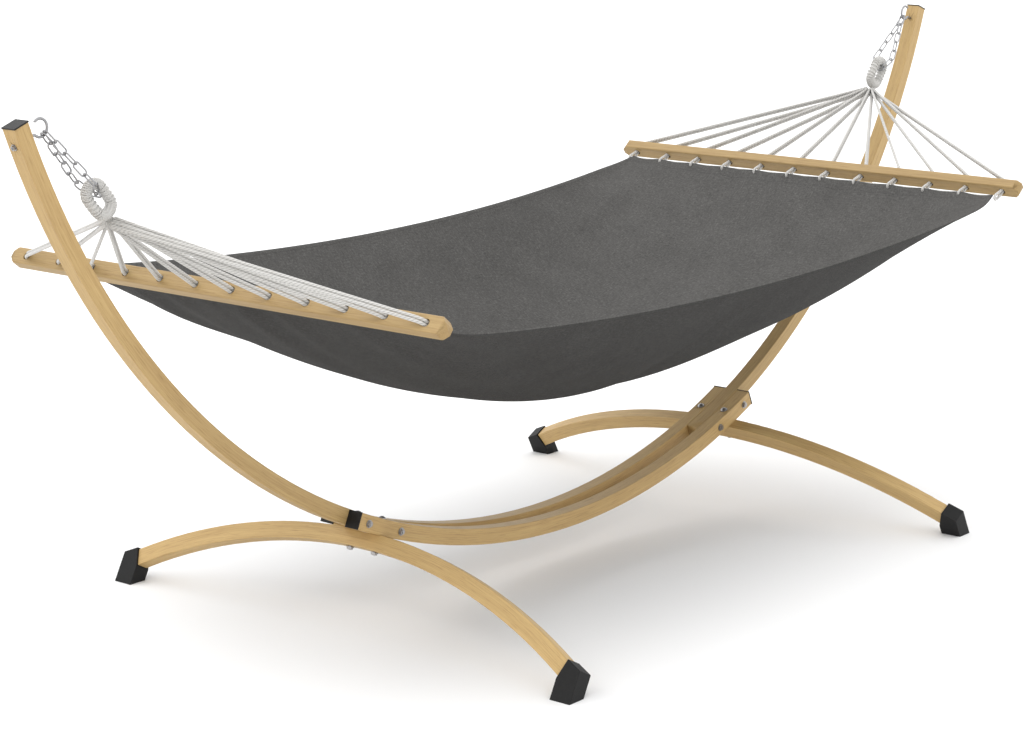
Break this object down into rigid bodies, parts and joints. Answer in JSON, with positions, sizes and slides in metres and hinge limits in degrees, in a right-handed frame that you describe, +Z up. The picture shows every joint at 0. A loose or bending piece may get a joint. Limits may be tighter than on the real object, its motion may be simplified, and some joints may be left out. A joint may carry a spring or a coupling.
{
  "type": "hammock on stand",
  "caption": "Spreader-bar hammock hung by ropes and chain from hooks on a curved laminated wooden stand with arched cross legs.",
  "frame": {"origin": "on the floor under the middle of the stand", "axes": "+X along the hammock, +Y across it, +Z up; near means -Y"},
  "size_m": [3.4104, 1.423, 1.2774],
  "materials": {
    "timber": "oiled, lengthwise grain",
    "bed_fabric": "heathered plain weave",
    "rope": "off-white braided cord",
    "zinc_steel": "dull galvanised",
    "boot_rubber": "matte",
    "end_cap_plastic": "matte"
  },
  "bodies": {
    "stand": {"left_arm": "timber", "left_arm_cap": "end_cap_plastic", "left_cross_leg": "timber", "left_hook": "zinc_steel", "left_near_boot": "boot_rubber", "near_beam_left_cap": "end_cap_plastic", "left_far_boot": "boot_rubber", "far_beam_left_cap": "end_cap_plastic", "right_arm": "timber", "right_arm_cap": "end_cap_plastic", "right_cross_leg": "timber", "right_hook": "zinc_steel", "right_near_boot": "boot_rubber", "near_beam_right_cap": "end_cap_plastic", "right_far_boot": "boot_rubber", "far_beam_right_cap": "end_cap_plastic", "near_centre_beam": "timber", "far_centre_beam": "timber", "clamp_bolts": "zinc_steel", "clamp_nuts": "zinc_steel", "clamp_washers": "zinc_steel", "leg_bolts": "zinc_steel", "leg_nuts": "zinc_steel", "leg_washers": "zinc_steel", "hook_nuts": "zinc_steel", "hook_washers": "zinc_steel"},
    "left_hammock": {"left_chain": "zinc_steel", "left_rope_eye": "rope", "left_fan_ropes": "rope", "left_spreader_bar": "timber", "left_hem_cord": "rope", "left_bed_half": "bed_fabric"},
    "right_hammock": {"right_chain": "zinc_steel", "right_rope_eye": "rope", "right_fan_ropes": "rope", "right_spreader_bar": "timber", "right_hem_cord": "rope", "right_bed_half": "bed_fabric"}
  },
  "joints": [
    {"name": "hammock_swing", "type": "hinge", "parent": "stand", "child": "left_hammock", "pos_m": [0, 0, 1.2423], "axis": [1, 0, 0], "range_deg": [-18, 18]},
    {"name": "bed_twist", "type": "hinge", "parent": "left_hammock", "child": "right_hammock", "pos_m": [0, 0, 1.2423], "axis": [1, 0, 0], "range_deg": [-5, 5]}
  ]
}
